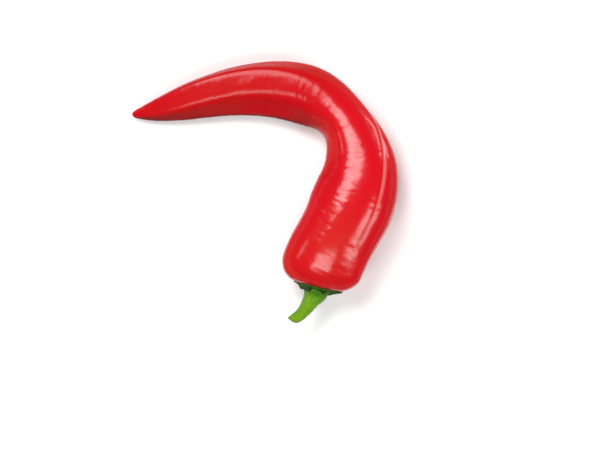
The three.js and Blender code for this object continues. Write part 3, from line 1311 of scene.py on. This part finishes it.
@dataclass
class Stalk:
    """The ribbed stalk that bends away from the calyx to a slanting cut.

    Attributes:
        finish: Its finish.
        path: Where its middle runs from the calyx to the cut, and its radius there, in millimetres.
        sink: How far its foot reaches into the calyx.
        foot: Share of its length over which it leaves the calyx's axis.
        ribs: How many ribs it has.
        rib: Their height as a share of the radius.
        twist: How far the ribs turn round it, in radians.
        slant: How far the cut is slewed to the outer side, as a slope.
        slant_start: Share of its length at which the slewing begins.
        worn_start: Share of its length at which its end begins to narrow.
        wrinkle: Height of its wrinkles.
        lump: Height of its lumps.
        pith_dip: How far the pith has dried back into the cut.
        rings: How many rings its side has.
        cut_rings: How many its cut has.
        segments: How many faces there are round it.
    """

    finish: StalkFinish = StalkFinish()
    path: tuple[tuple[float, ...], ...] = (
        (26.0, -49.3, 15.5, 6.8),
        (25.2, -51.2, 15.8, 5.9),
        (24.0, -53.2, 16.2, 4.85),
        (22.5, -55.6, 16.7, 3.95),
        (20.7, -58.2, 17.3, 3.45),
        (18.4, -60.9, 18.0, 3.1),
        (15.6, -63.2, 18.8, 2.85),
        (13.4, -64.6, 19.4, 2.5),
    )
    sink: float = 1.2 * MM
    foot: float = 0.3
    ribs: int = 5
    rib: float = 0.07
    twist: float = 1.5
    slant: float = 0.52
    slant_start: float = 0.72
    worn_start: float = 0.96
    wrinkle: float = 0.35 * MM
    lump: float = 0.5 * MM
    pith_dip: float = 0.6 * MM
    rings: int = 120
    cut_rings: int = 17
    segments: int = 120

    def spine(self, stem: Stem) -> Spine:
        """The line that the stalk follows, with its radius."""
        spine = Spine.laid(self.path)
        spine.rows[0, :3] -= stem.axis * self.sink
        return spine

    def base(self, stem: Stem) -> bpy.types.Mesh:
        """The rings of the stalk's closed foot, of its side, and of its slanting cut end."""
        spine = self.spine(stem)
        side = np.linspace(0, spine.length, self.rings)
        cut = np.linspace(1, 0, self.cut_rings + 1)[1:]
        distances = np.r_[0, side, np.full(len(cut), spine.length)]
        shares = distances / spine.length
        settled = np.clip(shares / self.foot, 0, 1)[:, None]
        settled = settled**2 * (3 - 2 * settled)
        headings = unit(stem.axis * (1 - settled) + spine.headings(distances) * settled)
        outward = unit(np.cross(headings, UP))
        upward = np.cross(outward, headings)
        slewed = np.clip((shares - self.slant_start) / (1 - self.slant_start), 0, 1)[:, None]
        outward = outward + headings * self.slant * slewed
        worn = np.clip((shares - self.worn_start) / (1 - self.worn_start), 0, 1)
        shrink = np.r_[0, np.ones(self.rings), cut] * np.sqrt(1 - worn**2 * 0.35)
        radius = spine.numbers(distances) * shrink[:, None]
        carried = {
            "outward": outward * radius,
            "upward": upward * radius,
            "along": distances,
            "share": shares,
            "cut": np.r_[np.zeros(self.rings), 0.12, 1.12 - cut],
            "radius": radius[:, 0],
        }
        return rings_mesh("stalk_rings", spine.points(distances), carried)

    def recipe(self) -> Recipe:
        """The tree that stretches the stalk's skin over its rings, with ribs and wrinkles."""
        recipe = Recipe("stalk_over_rings")
        rings, segments = recipe.input("Rings", "Int"), recipe.input("Segments", "Int")
        rib, material = recipe.input("Rib", "Float"), recipe.input("Skin", "Material")
        sheet, ring, turn = recipe.sheet(rings, segments)
        share, cut = recipe.carried("share", ring, "FLOAT"), recipe.carried("cut", ring, "FLOAT")
        along, radius = recipe.carried("along", ring, "FLOAT"), recipe.carried("radius", ring, "FLOAT")
        ribbed = (turn * self.ribs + share * self.twist).cosine()
        reach = 1 + ribbed * rib * (1.3 - share)
        cosine, sine = turn.cosine() * reach, turn.sine() * reach
        outward, upward = recipe.carried("outward", ring), recipe.carried("upward", ring)
        skin = recipe.moved(sheet, recipe.middle(ring) + outward * cosine + upward * sine)
        skin = recipe.stored(skin, "unbent", recipe.vector(radius * cosine, radius * sine, along))
        skin = recipe.stored(skin, "share", share, "FLOAT")
        skin = recipe.stored(skin, "cut", cut, "FLOAT")
        skin = recipe.sewn(skin)
        place = recipe.own("unbent")
        wrinkles = (recipe.noise(place * (0.35, 0.35, 1), 700, detail=2) - 0.5) * self.wrinkle
        lumps = (recipe.noise(place, 260, detail=1) - 0.5) * self.lump
        pith = recipe.own("cut", "FLOAT").rise(0.3, 0.9) * self.pith_dip
        skin = recipe.shifted(skin, recipe.along_normal(wrinkles + lumps - pith))
        recipe.serve(skin, material)
        return recipe

    def build(self, stem: Stem) -> bpy.types.Object:
        """Grows the stalk and puts it in the place of its solid."""
        base = self.base(stem)
        values = {
            "Rings": len(base.vertices),
            "Segments": self.segments,
            "Rib": self.rib,
            "Skin": self.finish.material(),
        }
        piece = self.recipe().grow("stalk_stem", base, values)
        dress(piece, "stalk")
        return piece


# ---- Studio ----


@dataclass(frozen=True)
class Softbox:
    """A soft light that faces the pepper.

    Attributes:
        name: What it is called.
        azimuth: Degrees from +X towards +Y, seen from above.
        elevation: Degrees above the floor.
        size: Its width and height.
        power: Its power in watts.
        distance: How far it stands from the middle of the pepper.
    """

    name: str
    azimuth: float
    elevation: float
    size: tuple[float, float]
    power: float
    distance: float = 1.0

    def place(self, aim: Vector) -> None:
        """Makes the light and turns it towards a point."""
        across, up = math.radians(self.azimuth), math.radians(self.elevation)
        away = Vector((math.cos(across) * math.cos(up), math.sin(across) * math.cos(up), math.sin(up)))
        light = bpy.data.lights.new(self.name, "AREA")
        light.shape = "RECTANGLE"
        light.size, light.size_y = self.size
        light.energy = self.power
        lamp = bpy.data.objects.new(self.name, light)
        lamp.location = aim + away * self.distance
        lamp.rotation_euler = away.to_track_quat("Z", "Y").to_euler()
        bpy.context.scene.collection.objects.link(lamp)


@dataclass
class Studio:
    """The pale floor, the soft lights and the camera that looks straight down.

    Attributes:
        softboxes: The lights.
        floor_colour: The floor's colour.
        floor_speck: How much darker its faint specks are, as a share of it.
        floor_size: Width of the floor.
        world_light: Strength of the even white light all round.
        camera_height: The camera's height over the pepper's middle.
        view_width: Width of what it sees at that height, in pepper widths.
        view_shift: How far its aim is from the middle of the pepper, in shares of the pepper's width
            and depth.
    """

    softboxes: tuple[Softbox, ...] = (
        Softbox("key_softbox", 122, 57, (0.54, 0.54), 9.5),
        Softbox("near_softbox", -108, 61, (0.56, 0.34), 4.8),
        Softbox("right_softbox", -29, 43, (0.36, 0.36), 3.1),
        Softbox("back_softbox", 35, 10, (0.40, 0.16), 2.4),
        Softbox("left_softbox", 172, 30, (0.18, 0.18), 0.4),
    )
    floor_colour: Colour = (0.95, 0.95, 0.95)
    floor_speck: float = 0.02
    floor_size: float = 6.0
    world_light: float = 0.09
    camera_height: float = 2.5
    view_width: float = 2.247
    view_shift: tuple[float, float] = (0.1319, -0.1232)

    def floor(self) -> None:
        """Lays the floor at the pepper's lowest point."""
        half = self.floor_size / 2
        mesh = bpy.data.meshes.new("floor")
        corners = [(-half, -half, 0), (half, -half, 0), (half, half, 0), (-half, half, 0)]
        mesh.from_pydata(corners, [], [(0, 1, 2, 3)])
        material, graph = new_finish("floor_white")
        place = graph.node("ShaderNodeTexCoord", out="Object")
        grain = graph.noise(place, 30, detail=2)
        speck = tuple(part * (1 - self.floor_speck) for part in self.floor_colour)
        colour = graph.blend(grain * 0.2, self.floor_colour, speck)
        surface(graph, {"Base Color": colour, "Roughness": 0.75, "Specular IOR Level": 0.2})
        mesh.materials.append(material)
        floor = bpy.data.objects.new("floor", mesh)
        bpy.context.scene.collection.objects.link(floor)

    def world(self) -> None:
        """Fills the surroundings with even white light."""
        world = bpy.data.worlds.new("white_room")
        world.use_nodes = True
        graph = Graph(world.node_tree)
        inputs = {"Color": (1, 1, 1, 1), "Strength": self.world_light}
        light = graph.node("ShaderNodeBackground", {}, inputs)
        way_out = graph.tree.nodes.new("ShaderNodeOutputWorld")
        graph.tree.links.new(light.socket, way_out.inputs["Surface"])
        bpy.context.scene.world = world

    def camera(self) -> None:
        """Hangs the camera over the pepper, looking straight down with +Y up in its view."""
        low, high = CAD_BOX
        middle, size = (low + high) / 2, high - low
        shift_x, shift_y = self.view_shift
        data = bpy.data.cameras.new("camera")
        data.sensor_width = 36
        data.lens = data.sensor_width * self.camera_height / (size.x * self.view_width)
        data.clip_start = 0.01
        camera = bpy.data.objects.new("camera", data)
        camera.location = middle + Vector((size.x * shift_x, size.y * shift_y, self.camera_height))
        bpy.context.scene.collection.objects.link(camera)
        bpy.context.scene.camera = camera

    def build(self) -> None:
        """Sets up everything round the pepper."""
        self.floor()
        self.world()
        self.camera()
        low, high = CAD_BOX
        for softbox in self.softboxes:
            softbox.place((low + high) / 2)
        bpy.context.scene.view_settings.view_transform = "Standard"


def write_sizes() -> None:
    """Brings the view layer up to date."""
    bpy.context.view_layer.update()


def main() -> None:
    """Builds the studio and the pepper's pieces."""
    logging.basicConfig(level=logging.INFO, format="%(name)s: %(message)s")
    Studio().build()
    fruit = Fruit()
    skin = fruit.build()
    stem = Stem.of(fruit)
    Calyx().build(stem, skin)
    Stalk().build(stem)
    write_sizes()


if __name__ == "__main__":
    main()
